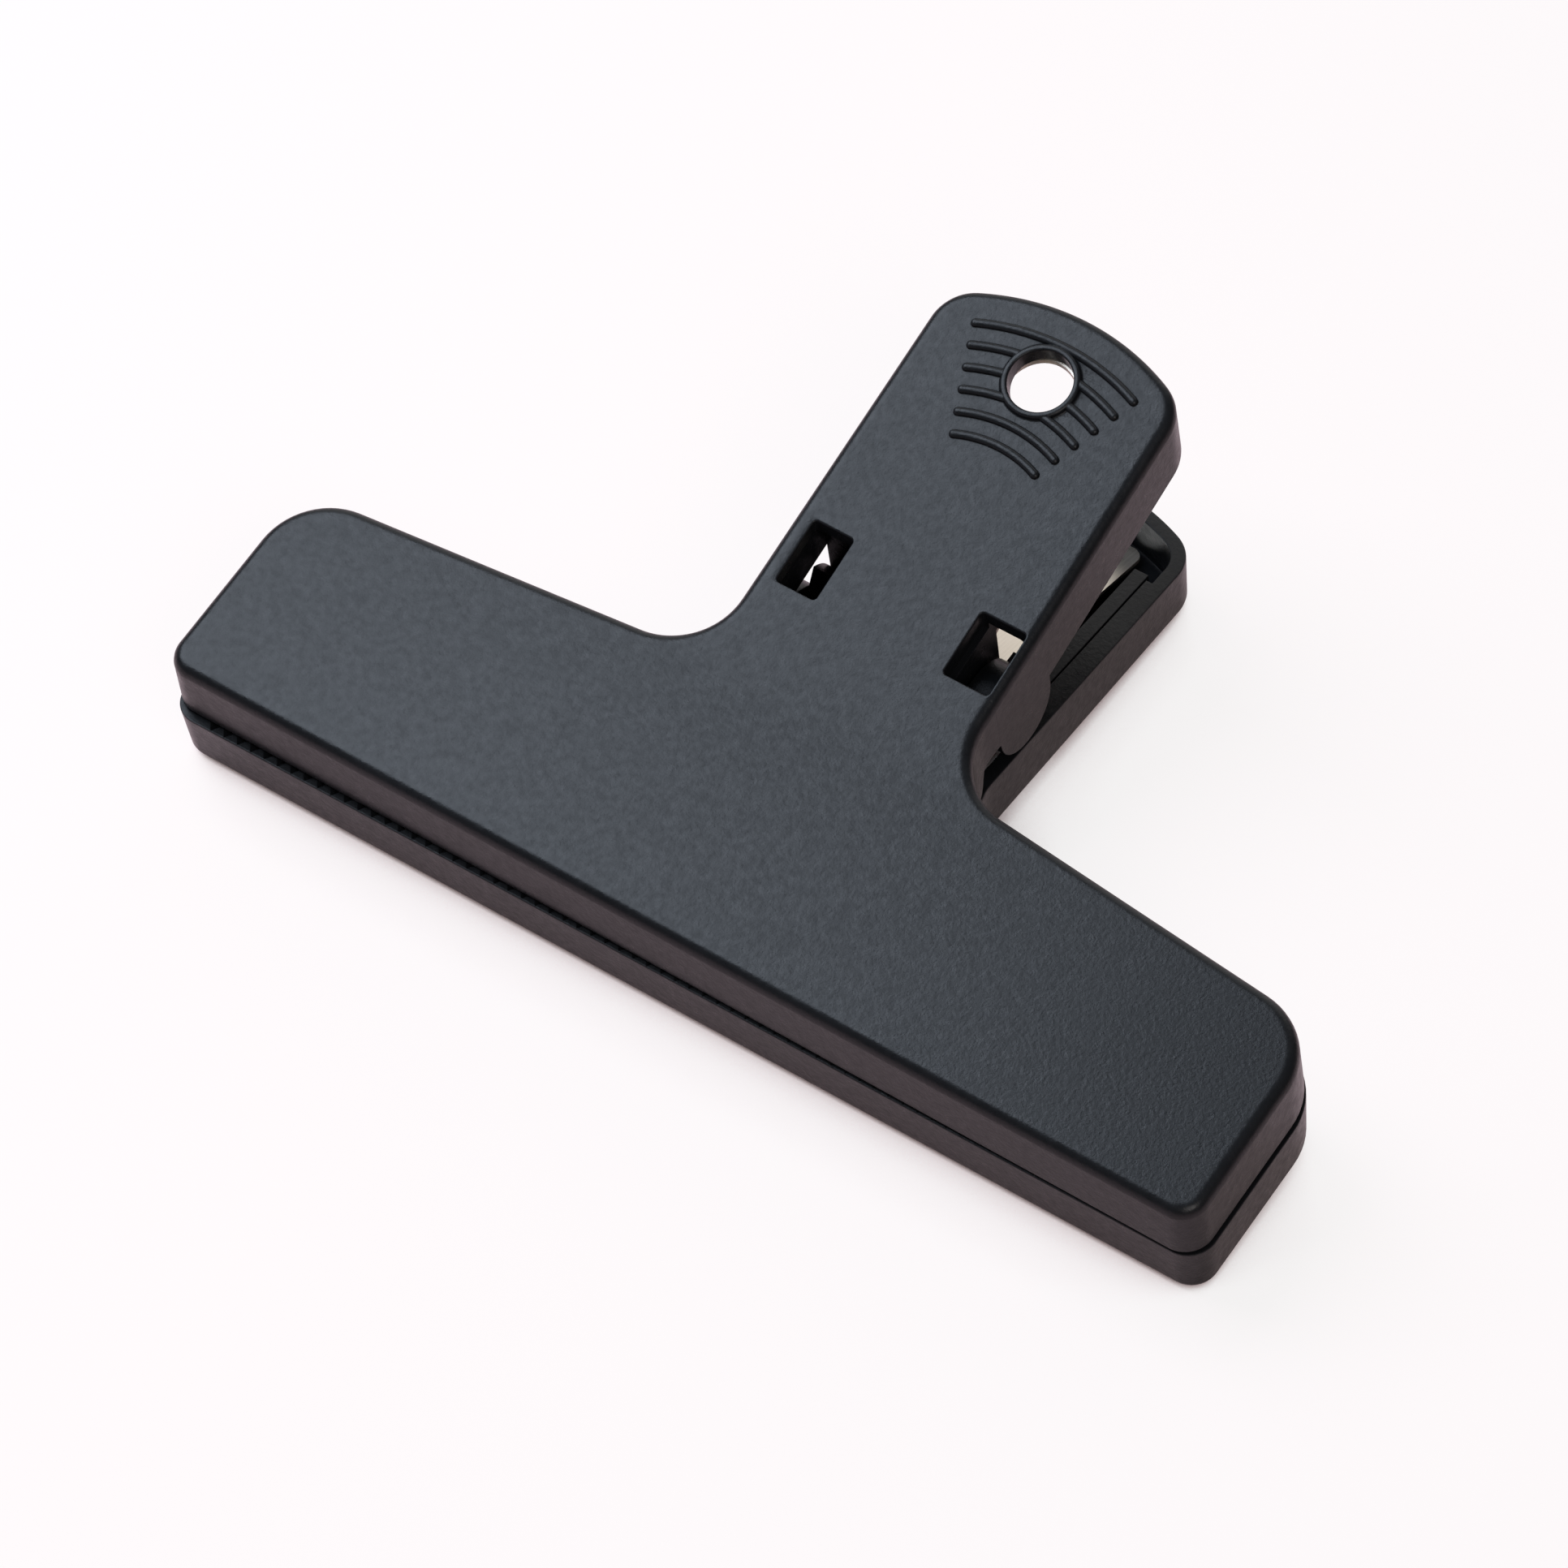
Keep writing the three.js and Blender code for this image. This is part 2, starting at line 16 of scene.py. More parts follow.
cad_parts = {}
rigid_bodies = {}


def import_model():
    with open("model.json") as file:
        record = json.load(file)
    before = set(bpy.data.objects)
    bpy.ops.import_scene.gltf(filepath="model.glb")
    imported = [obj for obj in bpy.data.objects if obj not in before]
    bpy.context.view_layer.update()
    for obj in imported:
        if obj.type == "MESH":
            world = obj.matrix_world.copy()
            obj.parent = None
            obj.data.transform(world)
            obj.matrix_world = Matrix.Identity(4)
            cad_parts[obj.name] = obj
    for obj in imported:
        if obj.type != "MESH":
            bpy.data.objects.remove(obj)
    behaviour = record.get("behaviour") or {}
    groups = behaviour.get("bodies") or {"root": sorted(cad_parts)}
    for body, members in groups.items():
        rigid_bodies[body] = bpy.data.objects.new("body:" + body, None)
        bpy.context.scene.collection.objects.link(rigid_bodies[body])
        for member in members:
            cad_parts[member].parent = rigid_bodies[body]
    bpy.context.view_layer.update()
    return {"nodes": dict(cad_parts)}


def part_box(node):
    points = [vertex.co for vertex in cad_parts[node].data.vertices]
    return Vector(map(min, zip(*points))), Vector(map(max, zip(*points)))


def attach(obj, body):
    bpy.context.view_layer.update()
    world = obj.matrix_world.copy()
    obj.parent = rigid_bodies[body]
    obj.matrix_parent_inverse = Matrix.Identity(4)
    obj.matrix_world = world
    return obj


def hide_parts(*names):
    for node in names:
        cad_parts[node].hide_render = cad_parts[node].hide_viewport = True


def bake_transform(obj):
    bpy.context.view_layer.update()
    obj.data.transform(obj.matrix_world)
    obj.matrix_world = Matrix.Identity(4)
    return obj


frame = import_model()

MM = 0.001

# The jaw bar and the handle
BAR_LENGTH = 150.0
BAR_BACK_LENGTH = 149.7
BAR_END_DEPTH = 29.3
BAR_ROOT_DEPTH = 34.8
BAR_FRONT_CORNER = 3.5
BAR_BACK_CORNER = 9.5
HANDLE_ROOT_WIDTH = 35.8
HANDLE_TIP_WIDTH = 34.8
HANDLE_SIDE_LENGTH = 54.2
HANDLE_END_BULGE = 4.7
HANDLE_ROOT_CORNER = 9.5
HANDLE_TIP_CORNER = 6.0

# The outer plate and the walls
LIP_HEIGHT = 9.1
BAR_RISE = math.radians(2.2)
HANDLE_RISE = math.radians(11.6)
BEND_START = 31.0
BEND_LENGTH = 14.0
EDGE_FILLET = 1.5
WALL = 2.0
PLATE = 2.0
DRAFT = math.tan(math.radians(1.7))
INNER_FILLET = 0.6

# The rims
LIP_GAP = 0.3
BAR_BACK_GAP = 1.2
RIM_RISE_START = 40.0
RIM_RISE = math.radians(12.6)
RELIEF_HEIGHT = 3.3
RELIEF_RUN = 2.0
RIM_ROUND = 0.22

# The hinge, the guide rib and the pad beside it
PIVOT_Y = 51.05
LOBE_RADIUS = 5.4
LOBE_RISE = 3.0
LOBE_STEP = 0.1
PIN_RADIUS = 2.2
PIN_CLEARANCE = 0.9
PIN_RIB_INNER_X = 9.7
PIN_RIB_WIDTH = 0.9
HOOK_INNER_X = 11.1
HOOK_WIDTH = 4.1
HOOK_WALL = 3.4
HOOK_MOUTH = math.radians(165)
HOOK_NECK = math.radians(60)
HOOK_WEB = math.radians(12)
HOOK_WEB_LENGTH = 1.8
HINGE_YAW = math.radians(0.44)
HINGE_SLACK = 0.55
GUIDE_INNER_X = 12.6
GUIDE_WIDTH = 2.0
GUIDE_SLOT = 0.35
GUIDE_REAR_GAP = 8.4
GUIDE_DROP = 0.2

# The windows, the hang hole and the grip ribs
WINDOW_LENGTH = 8.9
WINDOW_STAGGER = 0.6
WINDOW_CORNER = 0.5
WINDOW_EDGE = 0.22
PIN_WINDOW = (13.1, 6.55)
HOOK_WINDOW = (-12.15, 5.8)
HOLE_FROM_END = 10.0
HOLE_RADIUS = 4.15
COLLAR_WIDTH = 0.9
COLLAR_HEIGHT = 0.6
GRIP_COUNT = 6
GRIP_PITCH = 3.0
GRIP_FIRST_RADIUS = 15.85
GRIP_CENTRE_FROM_HOLE = 25.0
GRIP_HALF_ANGLE = math.radians(22)
GRIP_WIDTH = 1.15
GRIP_HEIGHT = 0.5

# The lips' grooves and the bar's cross ribs
TOOTH_PITCH = 2.05
TOOTH_SLOPE = 0.75
TOOTH_MARGIN = 5.0
TOOTH_SETBACK = 0.15
BAR_RIB_COUNT = 6
BAR_RIB_WIDTH = 1.2
BAR_RIB_SETBACK = 4.0

# The leaf spring
LEAF_WIDTH = 18.8
LEAF_THICKNESS = 0.6
LEAF_BEND_RADIUS = 1.5
LEAF_BEND_Y = 49.5
LEAF_CLEARANCE = 0.3
LEAF_CORNER = 2.0
LEAF_HOLE_MARGIN = 0.8

# Small forms that show only from close up
LEAST_CORNER = 0.4
PLATE_INSET = 0.25
ROUND_MIDDLE = 0.29
COLLAR_BLEND = 0.25
COLLAR_ROUND = 0.42
HOLE_FLARE = 0.28
GRIP_FULLNESS = 0.8
GRIP_LEAST_SHARE = 0.06

# Steps along the curves
CORNER_STEPS = 14
ROOT_STEPS = 24
END_STEPS = 24
BAR_END_STEPS = 6
BAR_BACK_STEPS = 10
LOBE_STEPS = 36
FILLET_STEPS = 10
HOLE_STEPS = 96
COLLAR_BLEND_STEPS = 4
COLLAR_ROUND_STEPS = 7
HOLE_FLARE_STEPS = 5
GRIP_STEPS = 40
GRIP_TIP_STEPS = 10
GRIP_LEVELS = 6
WINDOW_STEPS = 6
WINDOW_ANGLES = (0.5, 1.0, math.pi / 2)
PIN_STEPS = 48
PIN_RIB_STEPS = 32
HOOK_OUTER_STEPS = 40
HOOK_NECK_STEPS = 12
HOOK_INNER_STEPS = 44
LEAF_LEG_STEPS = 40
LEAF_BEND_STEPS = 36
LEAF_CORNER_STEPS = 12
PUNCH_STEPS = 64

# The outline's points along the handle's side, from the lobe to the handle's end
TAIL_START = 2.0
TAIL_PITCH = 1.5
TAIL_COUNT = 17

BAR_SLOPE = math.tan(BAR_RISE)
HANDLE_SLOPE = math.tan(HANDLE_RISE)
RIM_SLOPE = math.tan(RIM_RISE)
HANDLE_END_Y = BAR_ROOT_DEPTH + HANDLE_SIDE_LENGTH + HANDLE_END_BULGE
END_RADIUS = ((HANDLE_TIP_WIDTH / 2) ** 2 + HANDLE_END_BULGE**2) / (2 * HANDLE_END_BULGE)
HOLE_Y = HANDLE_END_Y - HOLE_FROM_END

# How far joining and cutting bodies reach past the face that they meet
SINK = 0.5

# How near two points lie when they count as one, and how sharp an edge stays an edge
MERGE = 0.002
SHARP_ANGLE = math.radians(32)


# Heights above the plane where the halves meet


def crown(y):
    """The outer face: one slope over the bar, a steeper one over the handle, and a bend between."""
    past = np.maximum(0.0, np.asarray(y, float) - BEND_START)
    turned = np.where(past < BEND_LENGTH, past**2 / (2 * BEND_LENGTH), past - BEND_LENGTH / 2)
    return LIP_HEIGHT + BAR_SLOPE * np.asarray(y, float) + (HANDLE_SLOPE - BAR_SLOPE) * turned


def hook_side_rim(y):
    """The rim on the hook's side: nearly level along the bar, then climbing along the handle."""
    front = LIP_GAP / 2 + (BAR_BACK_GAP - LIP_GAP) / 2 * (y / RIM_RISE_START)
    if y < RIM_RISE_START:
        return front
    return BAR_BACK_GAP / 2 + RIM_SLOPE * (y - RIM_RISE_START)


def pin_side_rim(y):
    """The rim on the stub's side, which is cut back in front of the hinge and round at it."""
    plain = hook_side_rim(y)
    if RIM_RISE_START < y < PIVOT_Y - LOBE_RADIUS:
        climb = min(1.0, (y - RIM_RISE_START) / RELIEF_RUN)
        climb = climb * climb * (3 - 2 * climb)
        return max(plain, BAR_BACK_GAP / 2 + (RELIEF_HEIGHT - BAR_BACK_GAP / 2) * climb)
    if abs(y - PIVOT_Y) <= LOBE_RADIUS:
        return LOBE_RISE - math.sqrt(max(0.0, LOBE_RADIUS**2 - (y - PIVOT_Y) ** 2))
    return plain


# The T-shaped outline


def vec(x, y):
    return np.array([x, y], float)


def cross(a, b):
    return a[0] * b[1] - a[1] * b[0]


def edge(start, stop, offset):
    """A straight edge of the outline, moved outwards by an offset."""
    direction = (stop - start) / np.linalg.norm(stop - start)
    normal = vec(direction[1], -direction[0])
    return {"point": start + normal * offset, "direction": direction, "normal": normal}


def moved(line, distance):
    return {**line, "point": line["point"] + line["normal"] * distance}


def meeting(first, second):
    """The place where two straight edges cross."""
    across = cross(first["direction"], second["direction"])
    between = second["point"] - first["point"]
    return first["point"] + first["direction"] * (cross(between, second["direction"]) / across)


def arc_points(centre, radius, start, stop, steps):
    """Points along an arc, each with its outward direction. An inner corner has a negative radius."""
    found = []
    for i in range(steps + 1):
        angle = start + (stop - start) * i / steps
        normal = vec(math.cos(angle), math.sin(angle))
        found.append((centre + normal * radius, normal))
    return found


def corner(first, second, radius, steps):
    """A round that touches two straight edges, in an outer or an inner corner."""
    turn = math.asin(cross(first["direction"], second["direction"]))
    side = math.copysign(1.0, turn)
    centre = meeting(moved(first, -side * radius), moved(second, -side * radius))
    start = math.atan2(first["normal"][1], first["normal"][0])
    return arc_points(centre, side * radius, start, start + turn, steps)


def along(line, first, last, count):
    """Points strictly between two places on a straight edge."""
    return [(first + (last - first) * i / (count + 1), line["normal"]) for i in range(1, count + 1)]


LOBE_FRONT_Y = PIVOT_Y - LOBE_RADIUS
LOBE_BACK_Y = PIVOT_Y + LOBE_RADIUS
LOBE_STATIONS = [
    PIVOT_Y - LOBE_RADIUS * math.cos(math.pi * i / LOBE_STEPS) for i in range(LOBE_STEPS + 1)
]
SIDE_STATIONS = [
    LOBE_FRONT_Y - LOBE_STEP,
    *LOBE_STATIONS,
    LOBE_BACK_Y + LOBE_STEP,
    *[LOBE_BACK_Y + TAIL_START + TAIL_PITCH * i for i in range(TAIL_COUNT)],
]


def outline(offset):
    """The right half of the outline, from the lip's corner to the middle of the handle's end."""
    front = edge(vec(0, 0), vec(BAR_LENGTH / 2, 0), offset)
    end = edge(vec(BAR_LENGTH / 2, 0), vec(BAR_BACK_LENGTH / 2, BAR_END_DEPTH), offset)
    root = vec(HANDLE_ROOT_WIDTH / 2, BAR_ROOT_DEPTH)
    tip = vec(HANDLE_TIP_WIDTH / 2, BAR_ROOT_DEPTH + HANDLE_SIDE_LENGTH)
    back = edge(vec(BAR_BACK_LENGTH / 2, BAR_END_DEPTH), root, offset)
    side = edge(root, tip, offset)

    # The round at the tip touches the side and, from within, the arc of the handle's end.
    tip_radius = max(LEAST_CORNER, HANDLE_TIP_CORNER + offset)
    arc_centre = vec(0, HANDLE_END_Y - END_RADIUS)
    inset = moved(side, -tip_radius)
    to_centre = inset["point"] - arc_centre
    half = float(to_centre @ inset["direction"])
    reach = END_RADIUS + offset - tip_radius
    run = -half + math.sqrt(half**2 - float(to_centre @ to_centre) + reach**2)
    tip_centre = inset["point"] + inset["direction"] * run
    tip_start = math.atan2(side["normal"][1], side["normal"][0])
    from_arc = tip_centre - arc_centre
    tip_stop = math.atan2(from_arc[1], from_arc[0])

    front_points = corner(front, end, max(LEAST_CORNER, BAR_FRONT_CORNER + offset), CORNER_STEPS)
    back_points = corner(end, back, max(LEAST_CORNER, BAR_BACK_CORNER + offset), CORNER_STEPS)
    root_points = corner(back, side, max(LEAST_CORNER, HANDLE_ROOT_CORNER - offset), ROOT_STEPS)
    on_side = []
    for y in SIDE_STATIONS:
        share = (y - side["point"][1]) / side["direction"][1]
        on_side.append((side["point"] + side["direction"] * share, side["normal"]))
    return [
        *front_points,
        *along(end, front_points[-1][0], back_points[0][0], BAR_END_STEPS),
        *back_points,
        *along(back, back_points[-1][0], root_points[0][0], BAR_BACK_STEPS),
        *root_points,
        *on_side,
        *arc_points(tip_centre, tip_radius, tip_start, tip_stop, CORNER_STEPS),
        *arc_points(arc_centre, END_RADIUS + offset, tip_stop, math.pi / 2, END_STEPS)[1:],
    ]


# Meshes


def make(name, vertices, faces):
    mesh = bpy.data.meshes.new(name)
    mesh.from_pydata([tuple(v) for v in vertices], [], faces)
    mesh.validate()
    mesh.update()
    obj = bpy.data.objects.new(name, mesh)
    bpy.context.scene.collection.objects.link(obj)
    return obj


def combine(base, other, operation):
    """Joins, cuts or intersects, and takes the second object away."""
    before = len(base.data.polygons)
    modifier = base.modifiers.new("combine", "BOOLEAN")
    modifier.operation = operation
    modifier.solver = "MANIFOLD"
    modifier.object = other
    graph = bpy.context.evaluated_depsgraph_get()
    result = bpy.data.meshes.new_from_object(base.evaluated_get(graph))
    base.modifiers.clear()
    old = base.data
    base.data = result
    bpy.data.meshes.remove(old)
    if len(result.polygons) == before and operation != "INTERSECT":
        print("combine changed nothing:", base.name, other.name, operation)
    bpy.data.objects.remove(other)


def merge_close(obj):
    """Merges points that the cuts leave on top of each other, and splits the many-sided faces."""
    mesh = bmesh.new()
    mesh.from_mesh(obj.data)
    bmesh.ops.remove_doubles(mesh, verts=mesh.verts, dist=MERGE)
    bmesh.ops.dissolve_degenerate(mesh, edges=mesh.edges, dist=MERGE)
    many_sided = [face for face in mesh.faces if len(face.verts) > 4]
    bmesh.ops.triangulate(mesh, faces=many_sided, quad_method="BEAUTY", ngon_method="BEAUTY")
    mesh.to_mesh(obj.data)
    mesh.free()


def ring(offset, height, drafted):
    """The whole outline at an offset, at the height that a function of the place gives."""
    right = outline(offset)
    points = []
    for mirror, source in ((1, right), (-1, right[:-1][::-1])):
        for at, normal in source:
            z = float(height(at[1], mirror))
            widen = DRAFT * (float(crown(at[1])) - z) if drafted else 0.0
            points.append((mirror * (at[0] + normal[0] * widen), at[1] + normal[1] * widen, z))
    return points


def tray(name):
    """The walls and the outer plate, closed all round, from rings laid one inside the other."""

    def rim(y, mirror):
        return pin_side_rim(y) if mirror > 0 else hook_side_rim(y)

    def raised(extra):
        return lambda y, mirror: rim(y, mirror) + extra

    def sunk(depth):
        return lambda y, mirror: crown(y) - depth

    rings = [ring(-EDGE_FILLET - PLATE_INSET, sunk(0.0), False)]
    for i in range(FILLET_STEPS + 1):
        angle = math.pi / 2 * i / FILLET_STEPS
        drop = EDGE_FILLET * (1 - math.cos(angle))
        rings.append(ring(-EDGE_FILLET * (1 - math.sin(angle)), sunk(drop), i == FILLET_STEPS))
    middle = RIM_ROUND * ROUND_MIDDLE
    rim_round = ((0, RIM_ROUND), (middle, middle), (RIM_ROUND, 0))
    for inset, lift in rim_round:
        rings.append(ring(-inset, raised(lift), True))
    for inset, lift in rim_round[::-1]:
        rings.append(ring(-WALL + inset, raised(lift), True))
    for angle in (0, math.pi / 4, math.pi / 2):
        inset = WALL + INNER_FILLET * (1 - math.cos(angle))
        depth = PLATE + INNER_FILLET * (1 - math.sin(angle))
        rings.append(ring(-inset, sunk(depth), True))
    count = len(rings[0])
    last = count // 2
    vertices = [point for one in rings for point in one]
    faces = []
    for k in range(len(rings) - 1):
        for i in range(count):
            j = (i + 1) % count
            row = k * count
            next_row = row + count
            faces.append((next_row + i, next_row + j, row + j, row + i))

    # The first ring closes the outer face, the last one the face inside.
    inner = (len(rings) - 1) * count
    for i in range(last):
        left = count - 1 - i
        if i + 1 < last:
            faces.append((left, i, i + 1, left - 1))
            faces.append((inner + left - 1, inner + i + 1, inner + i, inner + left))
        else:
            faces.append((left, i, i + 1))
            faces.append((inner + i + 1, inner + i, inner + left))
    return make(name, vertices, faces)


def prism(name, points, low, high, place):
    """A closed outline given in two coordinates, drawn out along the third by place(u, v, w)."""
    count = len(points)
    vertices = [place(u, v, low) for u, v in points] + [place(u, v, high) for u, v in points]
    faces = [tuple(range(count))[::-1], tuple(range(count, 2 * count))]
    faces += [(i, (i + 1) % count, count + (i + 1) % count, count + i) for i in range(count)]
    obj = make(name, vertices, faces)
    face_out(obj)
    return obj


def face_out(obj):
    """Turns a closed mesh's faces outwards."""
    volume = 0.0
    mesh = obj.data
    for polygon in mesh.polygons:
        corners = [mesh.vertices[i].co for i in polygon.vertices]
        for i in range(1, len(corners) - 1):
            volume += corners[0].dot(corners[i].cross(corners[i + 1]))
    if volume < 0:
        mesh.flip_normals()


def along_x(name, points, low, high):
    return prism(name, points, low, high, lambda u, v, w: (w, u, v))


def along_z(name, points, low, high):
    return prism(name, points, low, high, lambda u, v, w: (u, v, w))


def stack(name, rings):
    """A closed body from rings of points, one above the other."""
    count = len(rings[0])
    faces = [tuple(range(count))[::-1]]
    for k in range(len(rings) - 1):
        for i in range(count):
            j = (i + 1) % count
            faces.append((k * count + i, k * count + j, (k + 1) * count + j, (k + 1) * count + i))
    faces.append(tuple(range((len(rings) - 1) * count, len(rings) * count)))
    obj = make(name, [point for one in rings for point in one], faces)
    face_out(obj)
    return obj


def lathe(name, profile, steps, place):
    """A closed body of revolution. The profile runs from the axis to the axis."""
    vertices = [place(0, 0, profile[0][1]), place(0, 0, profile[-1][1])]
    inner = profile[1:-1]
    for radius, height in inner:
        for i in range(steps):
            angle = 2 * math.pi * i / steps
            vertices.append(place(radius * math.cos(angle), radius * math.sin(angle), height))
    faces = []
    for i in range(steps):
        j = (i + 1) % steps
        faces.append((0, 2 + j, 2 + i))
        for k in range(len(inner) - 1):
            low = 2 + k * steps
            high = low + steps
            faces.append((low + i, low + j, high + j, high + i))
        top = 2 + (len(inner) - 1) * steps
        faces.append((1, top + i, top + j))
    obj = make(name, vertices, faces)
    face_out(obj)
    return obj


def arc(centre, radius, start, stop, steps):
    """Points along an arc, in two coordinates."""
    return [
        (
            centre[0] + radius * math.cos(start + (stop - start) * i / steps),
            centre[1] + radius * math.sin(start + (stop - start) * i / steps),
        )
        for i in range(steps + 1)
    ]


def on_handle(y):
    """The frame of the handle's outer face: its origin on the face, its Z out of it."""
    cosine = math.cos(HANDLE_RISE)
    sine = math.sin(HANDLE_RISE)
    base = float(crown(y))
    return lambda u, v, w: (u, y + v * cosine - w * sine, base + v * sine + w * cosine)


# The hang hole's collar, the grip ribs and the windows


def collar():
    outer = HOLE_RADIUS + COLLAR_WIDTH
    profile = [(0, -SINK), (outer + COLLAR_BLEND, -SINK), (outer + COLLAR_BLEND, 0)]
    for i in range(1, COLLAR_BLEND_STEPS + 1):
        angle = math.pi / 2 * i / COLLAR_BLEND_STEPS
        radius = outer + COLLAR_BLEND * (1 - math.sin(angle))
        profile.append((radius, COLLAR_BLEND * (1 - math.cos(angle))))
    for i in range(1, COLLAR_ROUND_STEPS + 1):
        angle = math.pi / 2 * i / COLLAR_ROUND_STEPS
        radius = outer - COLLAR_ROUND * (1 - math.cos(angle))
        profile.append((radius, COLLAR_HEIGHT - COLLAR_ROUND * (1 - math.sin(angle))))
    profile.append((0, COLLAR_HEIGHT))
    return lathe("collar", profile, HOLE_STEPS, on_handle(HOLE_Y))


def grip_rib(radius):
    """A low bar along an arc, with a rounded top and rounded ends."""
    levels = [(-SINK, 0.0), (0.0, 0.0)]
    for i in range(1, GRIP_LEVELS + 1):
        angle = math.pi / 2 * i / GRIP_LEVELS
        levels.append((GRIP_HEIGHT * math.sin(angle) ** GRIP_FULLNESS, 1 - math.cos(angle)))
    place = on_handle(HOLE_Y - GRIP_CENTRE_FROM_HOLE)
    start = math.pi / 2 - GRIP_HALF_ANGLE
    stop = math.pi / 2 + GRIP_HALF_ANGLE
    left_tip = (radius * math.cos(stop), radius * math.sin(stop))
    right_tip = (radius * math.cos(start), radius * math.sin(start))
    rings = []
    for height, share in levels:
        half = GRIP_WIDTH / 2 * max(GRIP_LEAST_SHARE, 1 - share)
        loop = arc((0, 0), radius + half, start, stop, GRIP_STEPS)
        loop += arc(left_tip, half, stop, stop + math.pi, GRIP_TIP_STEPS)[1:-1]
        loop += arc((0, 0), radius - half, stop, start, GRIP_STEPS)
        loop += arc(right_tip, half, start + math.pi, start + 2 * math.pi, GRIP_TIP_STEPS)[1:-1]
        rings.append([place(u, v, height) for u, v in loop])
    return stack("grip_rib", rings)


def hang_hole():
    low = -2 * (PLATE + COLLAR_HEIGHT + SINK)
    profile = [(0, low), (HOLE_RADIUS, low), (HOLE_RADIUS, COLLAR_HEIGHT - HOLE_FLARE)]
    for i in range(1, HOLE_FLARE_STEPS + 1):
        angle = math.pi / 2 * i / HOLE_FLARE_STEPS
        radius = HOLE_RADIUS + HOLE_FLARE * (1 - math.cos(angle))
        profile.append((radius, COLLAR_HEIGHT - HOLE_FLARE * (1 - math.sin(angle))))
    profile += [(HOLE_RADIUS + HOLE_FLARE, COLLAR_HEIGHT + SINK), (0, COLLAR_HEIGHT + SINK)]
    return lathe("hang_hole", profile, HOLE_STEPS, on_handle(HOLE_Y))


def window(middle_x, middle_y, width):
    """A prism through the plate, which flares a little where it meets the outer face."""
    levels = [(-PLATE - 2 * SINK, 0.0), (-WINDOW_EDGE, 0.0)]
    for angle in WINDOW_ANGLES:
        levels.append((-WINDOW_EDGE * (1 - math.sin(angle)), WINDOW_EDGE * (1 - math.cos(angle))))
    levels.append((SINK, WINDOW_EDGE))
    rings = []
    for height, grow in levels:
        radius = WINDOW_CORNER + grow
        centre_x = width / 2 + grow - radius
        centre_y = WINDOW_LENGTH / 2 + grow - radius
        loop = []
        for quarter, (side_x, side_y) in enumerate(((1, 1), (-1, 1), (-1, -1), (1, -1))):
            start = quarter * math.pi / 2
            stop = (quarter + 1) * math.pi / 2
            loop += arc((side_x * centre_x, side_y * centre_y), radius, start, stop, WINDOW_STEPS)
        rings.append([(middle_x + u, middle_y + v, float(crown(middle_y + v)) + height) for u, v in loop])
    return stack("window", rings)


# The hinge


def side_inner_x(y, z):
    """Where the handle's side wall has its inner face."""
    share = (y - BAR_ROOT_DEPTH) / HANDLE_SIDE_LENGTH
    half = (HANDLE_ROOT_WIDTH + (HANDLE_TIP_WIDTH - HANDLE_ROOT_WIDTH) * share) / 2
    return half - WALL + DRAFT * (float(crown(y)) - z)


def pivot_pin():
    inner = PIN_RIB_INNER_X + PIN_RIB_WIDTH / 2
    length = side_inner_x(PIVOT_Y, 0) + WALL / 2 - inner
    profile = [(0, 0), (PIN_RADIUS, 0), (PIN_RADIUS, length), (0, length)]
    return lathe("pin", profile, PIN_STEPS, lambda u, v, w: (inner + w, PIVOT_Y + u, v))


def pin_rib():
    """The rib that holds the stub's inner end, with the same round edge as the lobe."""
    points = arc((PIVOT_Y, LOBE_RISE), LOBE_RADIUS, math.pi, 2 * math.pi, PIN_RIB_STEPS)
    points += [
        (LOBE_BACK_Y, float(crown(LOBE_BACK_Y)) - PLATE / 2),
        (LOBE_FRONT_Y, float(crown(LOBE_FRONT_Y)) - PLATE / 2),
    ]
    return along_x("pin_rib", points, PIN_RIB_INNER_X, PIN_RIB_INNER_X + PIN_RIB_WIDTH)


HOOK_RADIUS = PIN_RADIUS + PIN_CLEARANCE
HOOK_OUTER = HOOK_RADIUS + HOOK_WALL
WEB_FRONT_Y = PIVOT_Y + HOOK_OUTER * math.cos(HOOK_WEB)
WEB_REAR_Y = WEB_FRONT_Y + HOOK_WEB_LENGTH
GUIDE_FRONT_Y = WEB_REAR_Y - SINK
GUIDE_REAR_Y = HANDLE_END_Y - WALL - GUIDE_REAR_GAP


def pivot_hook():
    """An open ring around the other half's stub, on a web that comes down from the plate."""
    centre = (PIVOT_Y, 0.0)
    points = arc(centre, HOOK_OUTER, -HOOK_MOUTH, -HOOK_WEB, HOOK_OUTER_STEPS)
    points += [
        (WEB_REAR_Y, -HOOK_OUTER * math.sin(HOOK_WEB)),
        (WEB_REAR_Y, float(crown(WEB_REAR_Y)) - PLATE / 2),
        (WEB_FRONT_Y, float(crown(WEB_FRONT_Y)) - PLATE / 2),
    ]
    points += arc(centre, HOOK_OUTER, HOOK_WEB, HOOK_NECK, HOOK_NECK_STEPS)
    points += arc(centre, HOOK_RADIUS, HOOK_NECK, -HOOK_MOUTH, HOOK_INNER_STEPS)
    return along_x("hook", points, -HOOK_INNER_X - HOOK_WIDTH, -HOOK_INNER_X)


def rib(name, low_x, high_x, start_y, stop_y, setback):
    """A flat-sided rib from the rim's height, plus a setback, up into the plate."""
    points = [
        (start_y, hook_side_rim(start_y) + setback),
        (stop_y, hook_side_rim(stop_y) + setback),
        (stop_y, float(crown(stop_y)) - PLATE / 2),
        (start_y, float(crown(start_y)) - PLATE / 2),
    ]
    return along_x(name, points, low_x, high_x)


